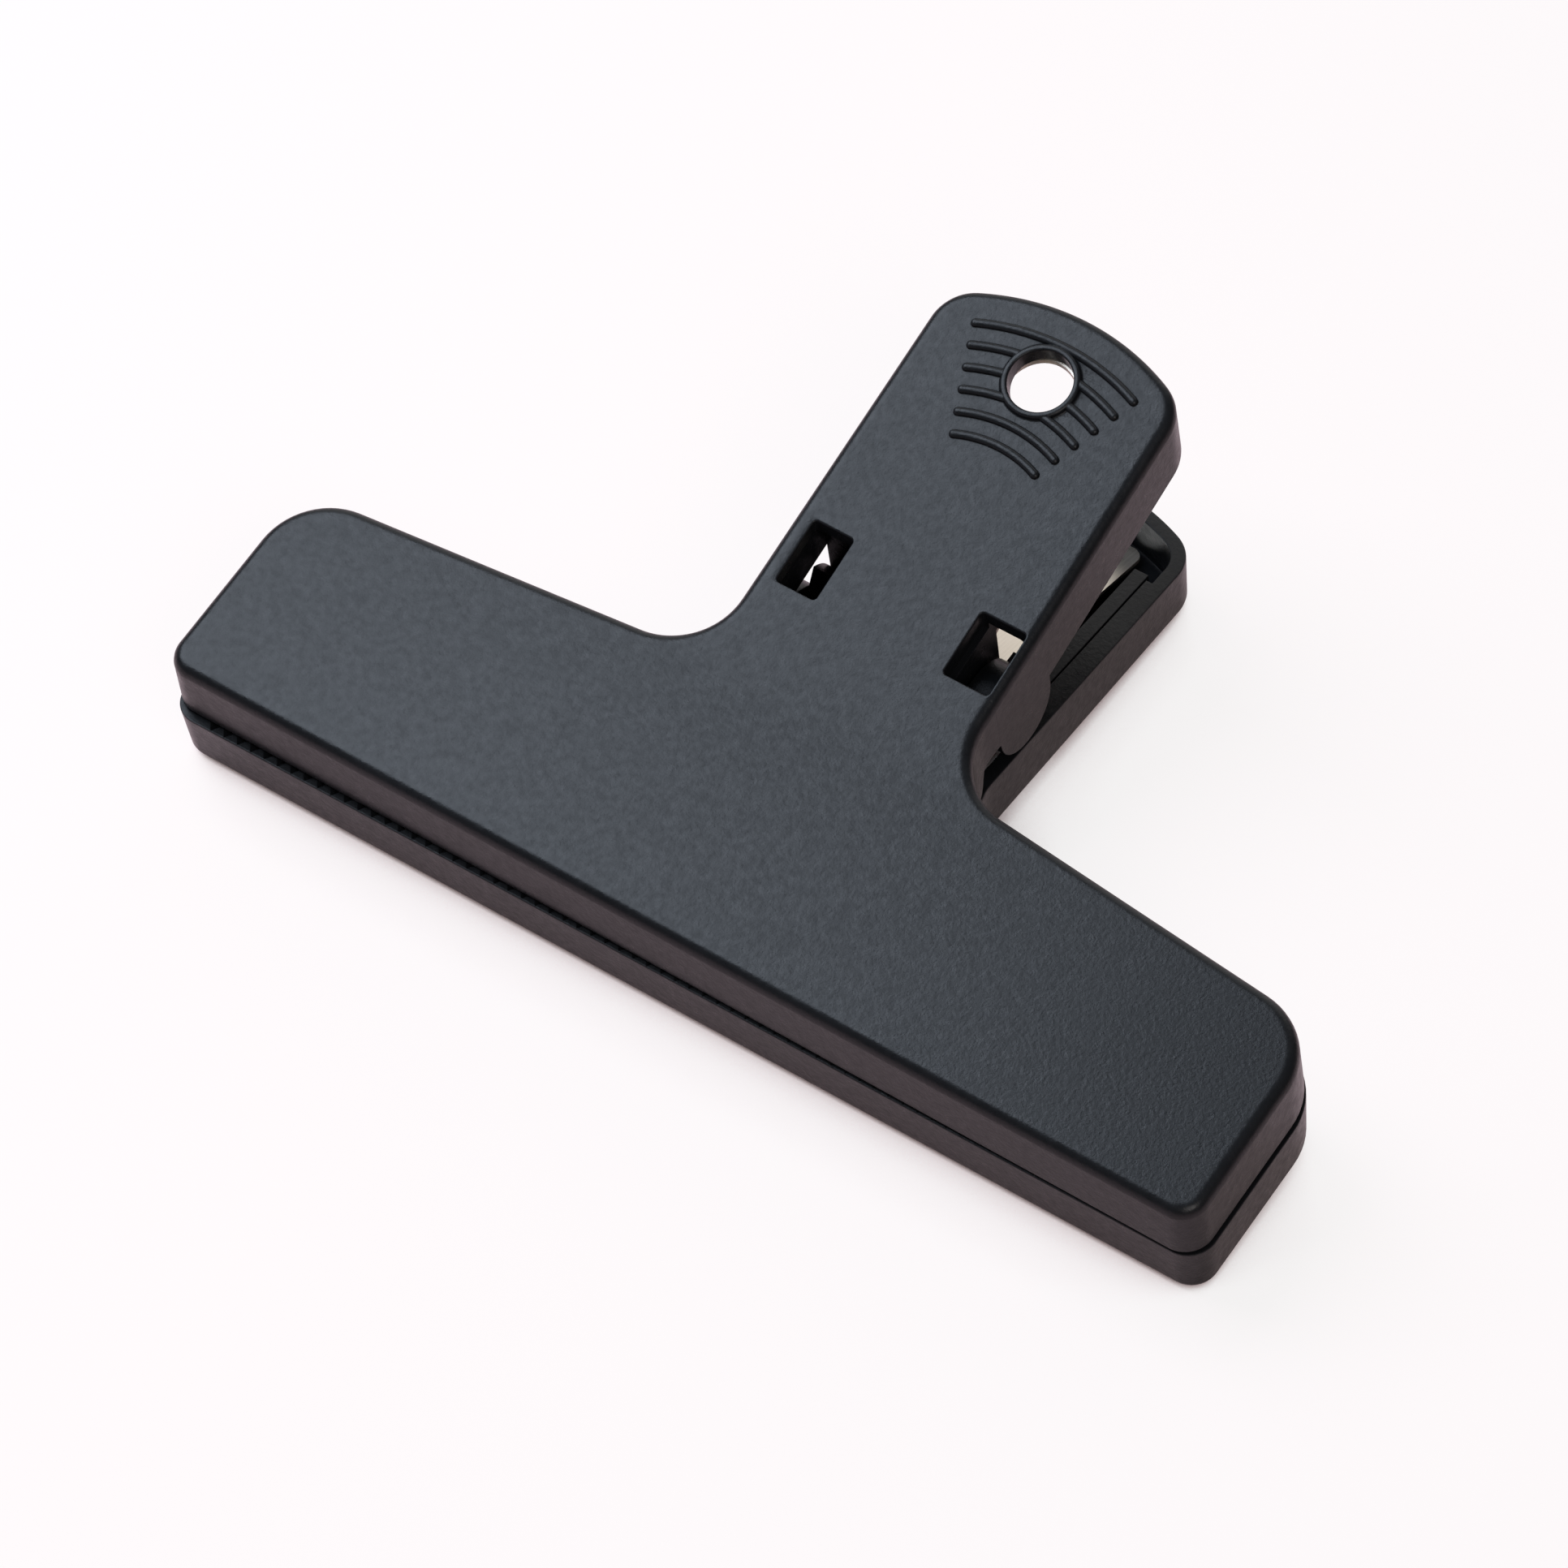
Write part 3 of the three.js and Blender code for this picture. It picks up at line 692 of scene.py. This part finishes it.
def bar_rib(x):
    half = BAR_RIB_WIDTH / 2
    return rib("bar_rib", x - half, x + half, WALL / 2, BAR_END_DEPTH, BAR_RIB_SETBACK)


def tooth_comb():
    """V grooves across the lip, which start behind its front face and deepen inwards."""
    count = int((BAR_LENGTH - 2 * TOOTH_MARGIN) / TOOTH_PITCH)
    start = -count * TOOTH_PITCH / 2
    root = -TOOTH_PITCH / 2
    points = [(start, root - SINK)]
    for i in range(count):
        x = start + i * TOOTH_PITCH
        points += [(x, root), (x + TOOTH_PITCH / 2, 0.0)]
    points += [(-start, root), (-start, root - SINK)]
    front_y = -DRAFT * LIP_HEIGHT
    start_y = front_y + TOOTH_SETBACK
    rim = hook_side_rim(0)

    def place(u, v, w):
        return (u, w, rim + v + TOOTH_SLOPE * (w - start_y))

    return prism("comb", points, front_y - SINK, WALL + SINK, place)


def half_shell(name):
    """One moulding, in the clip's frame, with its plate up."""
    body = tray(name)
    parts = [collar(), pivot_pin(), pin_rib(), pivot_hook()]
    parts += [grip_rib(GRIP_FIRST_RADIUS + i * GRIP_PITCH) for i in range(GRIP_COUNT)]
    slot_x = GUIDE_INNER_X + GUIDE_WIDTH
    wall_x = side_inner_x(GUIDE_REAR_Y, float(crown(GUIDE_REAR_Y))) + WALL / 2
    parts.append(rib("guide", -slot_x, -GUIDE_INNER_X, GUIDE_FRONT_Y, GUIDE_REAR_Y, GUIDE_DROP))
    pad_rear_y = GUIDE_REAR_Y - WALL / 2
    parts.append(rib("pad", -wall_x, -slot_x - GUIDE_SLOT, GUIDE_FRONT_Y, pad_rear_y, 0))
    parts.append(rib("far_pad", slot_x + GUIDE_SLOT, wall_x, WEB_REAR_Y + PIN_CLEARANCE, pad_rear_y, 0))
    pitch = BAR_LENGTH / (BAR_RIB_COUNT + 1)
    parts += [bar_rib((i + 1) * pitch - BAR_LENGTH / 2) for i in range(BAR_RIB_COUNT)]
    for part in parts:
        combine(body, part, "UNION")
    cuts = [
        window(PIN_WINDOW[0], PIVOT_Y - WINDOW_STAGGER / 2, PIN_WINDOW[1]),
        window(HOOK_WINDOW[0], PIVOT_Y + WINDOW_STAGGER / 2, HOOK_WINDOW[1]),
        hang_hole(),
        tooth_comb(),
    ]
    for cut in cuts:
        combine(body, cut, "DIFFERENCE")
    merge_close(body)
    return body


# The leaf spring


def leaf():
    """A strip bent into a U, with rounded corners and a hole that keeps clear of the hang hole."""
    half_width = LEAF_WIDTH / 2
    inner_radius = END_RADIUS - WALL
    end_y = HANDLE_END_Y - END_RADIUS + math.sqrt(inner_radius**2 - half_width**2) - LEAF_CLEARANCE
    end_z = float(crown(end_y)) - PLATE - LEAF_CLEARANCE - LEAF_THICKNESS / 2

    # Each leg runs straight from its end until it touches the bend's circle.
    reach = math.hypot(end_y - LEAF_BEND_Y, end_z)
    slope = math.atan2(end_z, end_y - LEAF_BEND_Y) - math.asin(LEAF_BEND_RADIUS / reach)
    start = math.pi / 2 + slope
    bend = arc((LEAF_BEND_Y, 0), LEAF_BEND_RADIUS, start, 2 * math.pi - start, LEAF_BEND_STEPS)
    bend_y, bend_z = bend[0]
    leg = []
    for i in range(LEAF_LEG_STEPS):
        share = i / LEAF_LEG_STEPS
        leg.append((end_y + (bend_y - end_y) * share, end_z + (bend_z - end_z) * share))
    line = np.array([*leg, *bend, *[(y, -z) for y, z in leg[::-1]]])
    direction = np.gradient(line, axis=0)
    direction /= np.linalg.norm(direction, axis=1)[:, None]
    normal = np.stack([-direction[:, 1], direction[:, 0]], axis=1)
    outer = line + normal * (LEAF_THICKNESS / 2)
    inner = line - normal * (LEAF_THICKNESS / 2)
    points = [tuple(point) for point in (*outer, *inner[::-1])]
    strip = along_x("leaf_spring_strip", points, -half_width, half_width)

    side_x = half_width + SINK
    corner_x = half_width - LEAF_CORNER
    corner_y = end_y + LEAF_CLEARANCE / 2 - LEAF_CORNER
    front_y = LEAF_BEND_Y - 2 * LEAF_BEND_RADIUS
    plan = [(-side_x, front_y), (side_x, front_y), (side_x, corner_y - SINK)]
    plan += arc((corner_x, corner_y), LEAF_CORNER, 0, math.pi / 2, LEAF_CORNER_STEPS)
    plan += arc((-corner_x, corner_y), LEAF_CORNER, math.pi / 2, math.pi, LEAF_CORNER_STEPS)
    plan.append((-side_x, corner_y - SINK))
    high = end_z + PLATE
    combine(strip, along_z("leaf_plan", plan, -high, high), "INTERSECT")

    last_angle = 2 * math.pi * (PUNCH_STEPS - 1) / PUNCH_STEPS
    hole = arc((0, HOLE_Y), HOLE_RADIUS + LEAF_HOLE_MARGIN, 0, last_angle, PUNCH_STEPS - 1)
    combine(strip, along_z("leaf_punch", hole, -high - 2 * SINK, high + 2 * SINK), "DIFFERENCE")
    merge_close(strip)
    return strip


# The clip lies on its lower half: on the bar's front edge and the handle's end

tip_y = HANDLE_END_Y - EDGE_FILLET
tip_depth = float(crown(tip_y)) - EDGE_FILLET
front_depth = float(crown(EDGE_FILLET)) - EDGE_FILLET
tilt = math.atan2(tip_depth - front_depth, tip_y - EDGE_FILLET)

clip_turn = Matrix.Rotation(tilt, 4, "X")
lower_turn = Matrix.Rotation(math.pi, 4, "Y")
to_hinge = Matrix.Translation((0, PIVOT_Y + HINGE_SLACK, 0))
upper_turn = to_hinge @ Matrix.Rotation(-HINGE_YAW, 4, "Z") @ Matrix.Translation((0, -PIVOT_Y, 0))

upper = half_shell("upper_half_moulding")
lower = upper.copy()
lower.data = upper.data.copy()
lower.name = "lower_half_moulding"
bpy.context.scene.collection.objects.link(lower)
spring = leaf()
upper.data.transform(clip_turn @ upper_turn)
lower.data.transform(clip_turn @ lower_turn)
spring.data.transform(clip_turn)

# The CAD box gives the shift from the clip's frame to the row frame, in millimetres.
corners = np.array([v.co for o in (upper, lower) for v in o.data.vertices])
cad_corners = np.array([list(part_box(n)[k]) for n in ("upper_half", "lower_half") for k in (0, 1)]) / MM
fine_middle = (corners.min(0) + corners.max(0)) / 2
cad_middle = (cad_corners.min(0) + cad_corners.max(0)) / 2
lift = cad_corners[:, 2].min() - corners[:, 2].min()
shift = Vector((cad_middle[0] - fine_middle[0], cad_middle[1] - fine_middle[1], lift))
to_row = Matrix.Scale(MM, 4) @ Matrix.Translation(shift)
for piece in (upper, lower, spring):
    piece.data.transform(to_row)


def soften(obj):
    """Smooth shading with sharp edges kept, and flat faces kept flat."""
    for polygon in obj.data.polygons:
        polygon.use_smooth = True
    obj.data.set_sharp_from_angle(angle=SHARP_ANGLE)
    modifier = obj.modifiers.new("weighted", "WEIGHTED_NORMAL")
    modifier.mode = "FACE_AREA"
    modifier.weight = 80
    modifier.keep_sharp = True


for piece in (upper, lower, spring):
    soften(piece)


# Materials


def node(tree, kind, inputs=None, **settings):
    """Adds a node with its own settings, and with values for its input sockets."""
    made = tree.nodes.new(kind)
    for key, value in settings.items():
        setattr(made, key, value)
    for key, value in (inputs or {}).items():
        made.inputs[key].default_value = value
    return made


def two_tones(tree, low, high):
    """A colour ramp between two pairs of a position and a colour."""
    made = tree.nodes.new("ShaderNodeValToRGB")
    for element, (position, colour) in zip(made.color_ramp.elements, (low, high)):
        element.position = position
        element.color = (*colour, 1)
    return made


def blank_material(name):
    material = bpy.data.materials.new(name)
    material.use_nodes = True
    tree = material.node_tree
    return material, tree, tree.nodes["Principled BSDF"]


def moulded_plastic():
    """Dark blue-grey plastic with a fine spark-eroded grain, faint flow marks, and painted shade on its
    reflection in narrow places.
    """
    material, tree, shader = blank_material("moulded_plastic")
    shader.inputs["IOR"].default_value = 1.53
    shader.inputs["Specular IOR Level"].default_value = 0.185
    place = node(tree, "ShaderNodeTexCoord")
    grain = node(tree, "ShaderNodeTexNoise", {"Scale": 1700, "Detail": 3, "Roughness": 0.62})
    cloud = node(tree, "ShaderNodeTexNoise", {"Scale": 38, "Detail": 4})
    fine = node(tree, "ShaderNodeTexNoise", {"Scale": 900, "Detail": 2})
    for texture in (grain, cloud, fine):
        tree.links.new(place.outputs["Object"], texture.inputs["Vector"])

    tone = two_tones(tree, (0.35, (0.0060, 0.0066, 0.0077)), (0.7, (0.0080, 0.0087, 0.0100)))
    tree.links.new(cloud.outputs["Fac"], tone.inputs["Fac"])
    tree.links.new(tone.outputs["Color"], shader.inputs["Base Color"])

    spread = {"From Min": 0.3, "From Max": 0.7, "To Min": 0.27, "To Max": 0.38}
    rough = node(tree, "ShaderNodeMapRange", spread)
    tree.links.new(fine.outputs["Fac"], rough.inputs["Value"])
    tree.links.new(rough.outputs["Result"], shader.inputs["Roughness"])

    # Painted shade: the reflection's tint darkens in narrow places, where the ambient occlusion finds other
    # surfaces close by.
    nearby = node(tree, "ShaderNodeAmbientOcclusion", {"Distance": 0.01}, samples=6)
    painted_shade_tint = node(tree, "ShaderNodeMapRange", {"From Min": 0.42, "From Max": 0.78, "To Min": 0.08})
    tree.links.new(nearby.outputs["AO"], painted_shade_tint.inputs["Value"])
    tree.links.new(painted_shade_tint.outputs["Result"], shader.inputs["Specular Tint"])

    bevel = node(tree, "ShaderNodeBevel", {"Radius": 0.00016}, samples=4)
    bump = node(tree, "ShaderNodeBump", {"Strength": 1.0, "Distance": 0.000038})
    tree.links.new(grain.outputs["Fac"], bump.inputs["Height"])
    tree.links.new(bevel.outputs["Normal"], bump.inputs["Normal"])
    tree.links.new(bump.outputs["Normal"], shader.inputs["Normal"])
    return material


def spring_steel():
    """Rolled steel strip with fine lines along its length."""
    material, tree, shader = blank_material("spring_steel")
    shader.inputs["Metallic"].default_value = 1
    place = node(tree, "ShaderNodeTexCoord")
    stretch = node(tree, "ShaderNodeMapping", {"Scale": (4200, 130, 130)})
    tree.links.new(place.outputs["Object"], stretch.inputs["Vector"])
    lines = node(tree, "ShaderNodeTexNoise", {"Scale": 1, "Detail": 4})
    tree.links.new(stretch.outputs["Vector"], lines.inputs["Vector"])

    tone = two_tones(tree, (0.3, (0.66, 0.60, 0.52)), (0.72, (0.80, 0.74, 0.66)))
    tree.links.new(lines.outputs["Fac"], tone.inputs["Fac"])
    tree.links.new(tone.outputs["Color"], shader.inputs["Base Color"])

    rough = node(tree, "ShaderNodeMapRange", {"To Min": 0.38, "To Max": 0.52})
    tree.links.new(lines.outputs["Fac"], rough.inputs["Value"])
    tree.links.new(rough.outputs["Result"], shader.inputs["Roughness"])

    bump = node(tree, "ShaderNodeBump", {"Strength": 0.2, "Distance": 0.00002})
    tree.links.new(lines.outputs["Fac"], bump.inputs["Height"])
    tree.links.new(bump.outputs["Normal"], shader.inputs["Normal"])
    return material


plastic = moulded_plastic()
steel = spring_steel()
for piece, material in ((upper, plastic), (lower, plastic), (spring, steel)):
    piece.data.materials.clear()
    piece.data.materials.append(material)
for name, cad_node in frame["nodes"].items():
    cad_node.data.materials.clear()
    cad_node.data.materials.append(steel if name == "leaf_spring" else plastic)

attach(upper, "upper_body")
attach(lower, "lower_body")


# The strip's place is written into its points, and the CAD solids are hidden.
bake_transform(spring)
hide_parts("upper_half")
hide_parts("lower_half")
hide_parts("leaf_spring")


# The floor, the light and the camera

# How much of the white mirrors and glass see
MIRROR_SHARE = 0.2


def calculate(tree, operation, first, second):
    """One step of arithmetic on two values, each of them a number or another node's output."""
    made = node(tree, "ShaderNodeMath", operation=operation)
    for socket, value in zip(made.inputs, (first, second)):
        if isinstance(value, float):
            socket.default_value = value
        else:
            tree.links.new(value, socket)
    return made.outputs[0]


def white_for_eye(tree, surface):
    """Mixes white in where the camera sees the surface, a little of it for mirrors and glass."""
    path = node(tree, "ShaderNodeLightPath")
    mirrored = calculate(tree, "MAXIMUM", path.outputs["Is Glossy Ray"], path.outputs["Is Transmission Ray"])
    weaker = calculate(tree, "MULTIPLY", mirrored, MIRROR_SHARE)
    seen = calculate(tree, "MAXIMUM", path.outputs["Is Camera Ray"], weaker)
    # Narrow gaps under the clip stay dark.
    shade = node(tree, "ShaderNodeAmbientOcclusion", {"Distance": 0.02}, samples=8)
    open_share = node(tree, "ShaderNodeMapRange", {"From Min": 0.28, "From Max": 0.55, "To Max": 0.85})
    tree.links.new(shade.outputs["AO"], open_share.inputs["Value"])
    share = calculate(tree, "MULTIPLY", seen, open_share.outputs["Result"])
    plain = node(tree, "ShaderNodeEmission", {"Color": (1, 1, 1, 1), "Strength": 1.0})
    mix = node(tree, "ShaderNodeMixShader")
    tree.links.new(share, mix.inputs["Fac"])
    tree.links.new(surface, mix.inputs[1])
    tree.links.new(plain.outputs["Emission"], mix.inputs[2])
    return mix.outputs[0]


FLOOR = 3.0
floor = make(
    "floor",
    [(-FLOOR, -FLOOR, 0), (FLOOR, -FLOOR, 0), (FLOOR, FLOOR, 0), (-FLOOR, FLOOR, 0)],
    [(0, 1, 2, 3)],
)
paper, paper_tree, paper_shader = blank_material("paper_floor")
paper_shader.inputs["Base Color"].default_value = (0.88, 0.62, 0.63, 1)
paper_shader.inputs["Roughness"].default_value = 0.9
paper_mix = white_for_eye(paper_tree, paper_shader.outputs["BSDF"])
paper_tree.links.new(paper_mix, paper_tree.nodes["Material Output"].inputs["Surface"])
floor.data.materials.append(paper)

# The world is dim all round, with one large soft bright patch behind the clip.
PATCH_DIRECTION = (-0.35, 0.855, 0.38)
world = bpy.data.worlds.new("studio")
bpy.context.scene.world = world
world.use_nodes = True
sky = world.node_tree
backdrop = sky.nodes["Background"]
backdrop.inputs["Color"].default_value = (1.0, 0.98, 0.96, 1)
sky_place = node(sky, "ShaderNodeTexCoord")
towards = node(sky, "ShaderNodeVectorMath", {1: PATCH_DIRECTION}, operation="DOT_PRODUCT")
patch_range = {"From Min": 0.78, "From Max": 0.97, "To Min": 0.11, "To Max": 1.3}
brightness = node(sky, "ShaderNodeMapRange", patch_range, interpolation_type="SMOOTHSTEP")
sky.links.new(sky_place.outputs["Generated"], towards.inputs[0])
sky.links.new(towards.outputs["Value"], brightness.inputs["Value"])
sky.links.new(brightness.outputs["Result"], backdrop.inputs["Strength"])


def softbox(name, place, aim, size, power, colour):
    """A rectangular light that faces a point."""
    light = bpy.data.lights.new(name, "AREA")
    light.shape = "RECTANGLE"
    light.size, light.size_y = size
    light.energy = power
    light.color = colour
    lamp = bpy.data.objects.new(name, light)
    bpy.context.scene.collection.objects.link(lamp)
    lamp.location = place
    lamp.rotation_euler = (Vector(place) - Vector(aim)).to_track_quat("Z", "Y").to_euler()


softbox(
    "key",
    place=(-0.36, -0.02, 0.52),
    aim=(-0.03, 0, 0.02),
    size=(0.46, 0.5),
    power=5.2,
    colour=(0.78, 0.87, 1.0),
)
softbox(
    "fill",
    place=(0.7, -0.5, 0.8),
    aim=(0, 0, 0.02),
    size=(0.5, 0.5),
    power=4.5,
    colour=(1.0, 0.94, 0.92),
)

# The camera's lens, axes and place come from the outline of the object in the photograph.
FOCAL_PIXELS = 8783.544
IMAGE_PIXELS = 1932
SENSOR_MM = 36
CAMERA_AXES = (
    (0.82553563, 0.56411648, -0.01623354),
    (-0.43340457, 0.65214883, 0.62198262),
    (0.36145733, -0.50643312, 0.78286275),
)
CAMERA_PLACE = (0.3101547, -0.4566092, 0.6913800)
camera_data = bpy.data.cameras.new("camera")
camera_data.sensor_fit = "HORIZONTAL"
camera_data.sensor_width = SENSOR_MM
camera_data.lens = FOCAL_PIXELS / IMAGE_PIXELS * SENSOR_MM
camera_data.clip_start = 0.05
camera_data.clip_end = 20
camera = bpy.data.objects.new("camera", camera_data)
bpy.context.scene.collection.objects.link(camera)
camera_turn = Matrix(CAMERA_AXES).transposed().to_4x4()
camera.matrix_world = Matrix.Translation(Vector(CAMERA_PLACE)) @ camera_turn
bpy.context.scene.camera = camera

bpy.context.scene.view_settings.view_transform = "Standard"

# The pieces were moved after they were made, so their boxes are worked out anew.
for shown in bpy.context.scene.objects:
    shown.update_tag()
bpy.context.view_layer.update()
